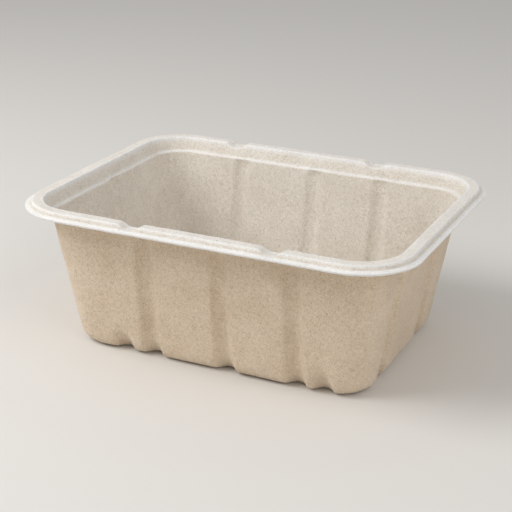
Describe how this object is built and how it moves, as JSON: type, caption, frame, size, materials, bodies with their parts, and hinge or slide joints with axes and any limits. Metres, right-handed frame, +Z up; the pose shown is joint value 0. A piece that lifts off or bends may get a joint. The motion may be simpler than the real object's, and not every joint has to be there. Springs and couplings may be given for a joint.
{
  "type": "bagasse meal box",
  "caption": "Open rectangular food tray of moulded sugarcane pulp, with drafted fluted walls, round corners, a narrow flange and a raised bead that has short notches for a lid.",
  "frame": {"origin": "middle of the base, on the plane that the box stands on", "axes": "+X along the length, +Z up out of the mouth, -Y the front long side"},
  "size_m": [0.19, 0.148, 0.071],
  "materials": {
    "moulded_pulp": "matt moulded sugarcane fibre, unbleached"
  },
  "bodies": {
    "root": {"meal_box": "moulded_pulp"}
  },
  "joints": []
}
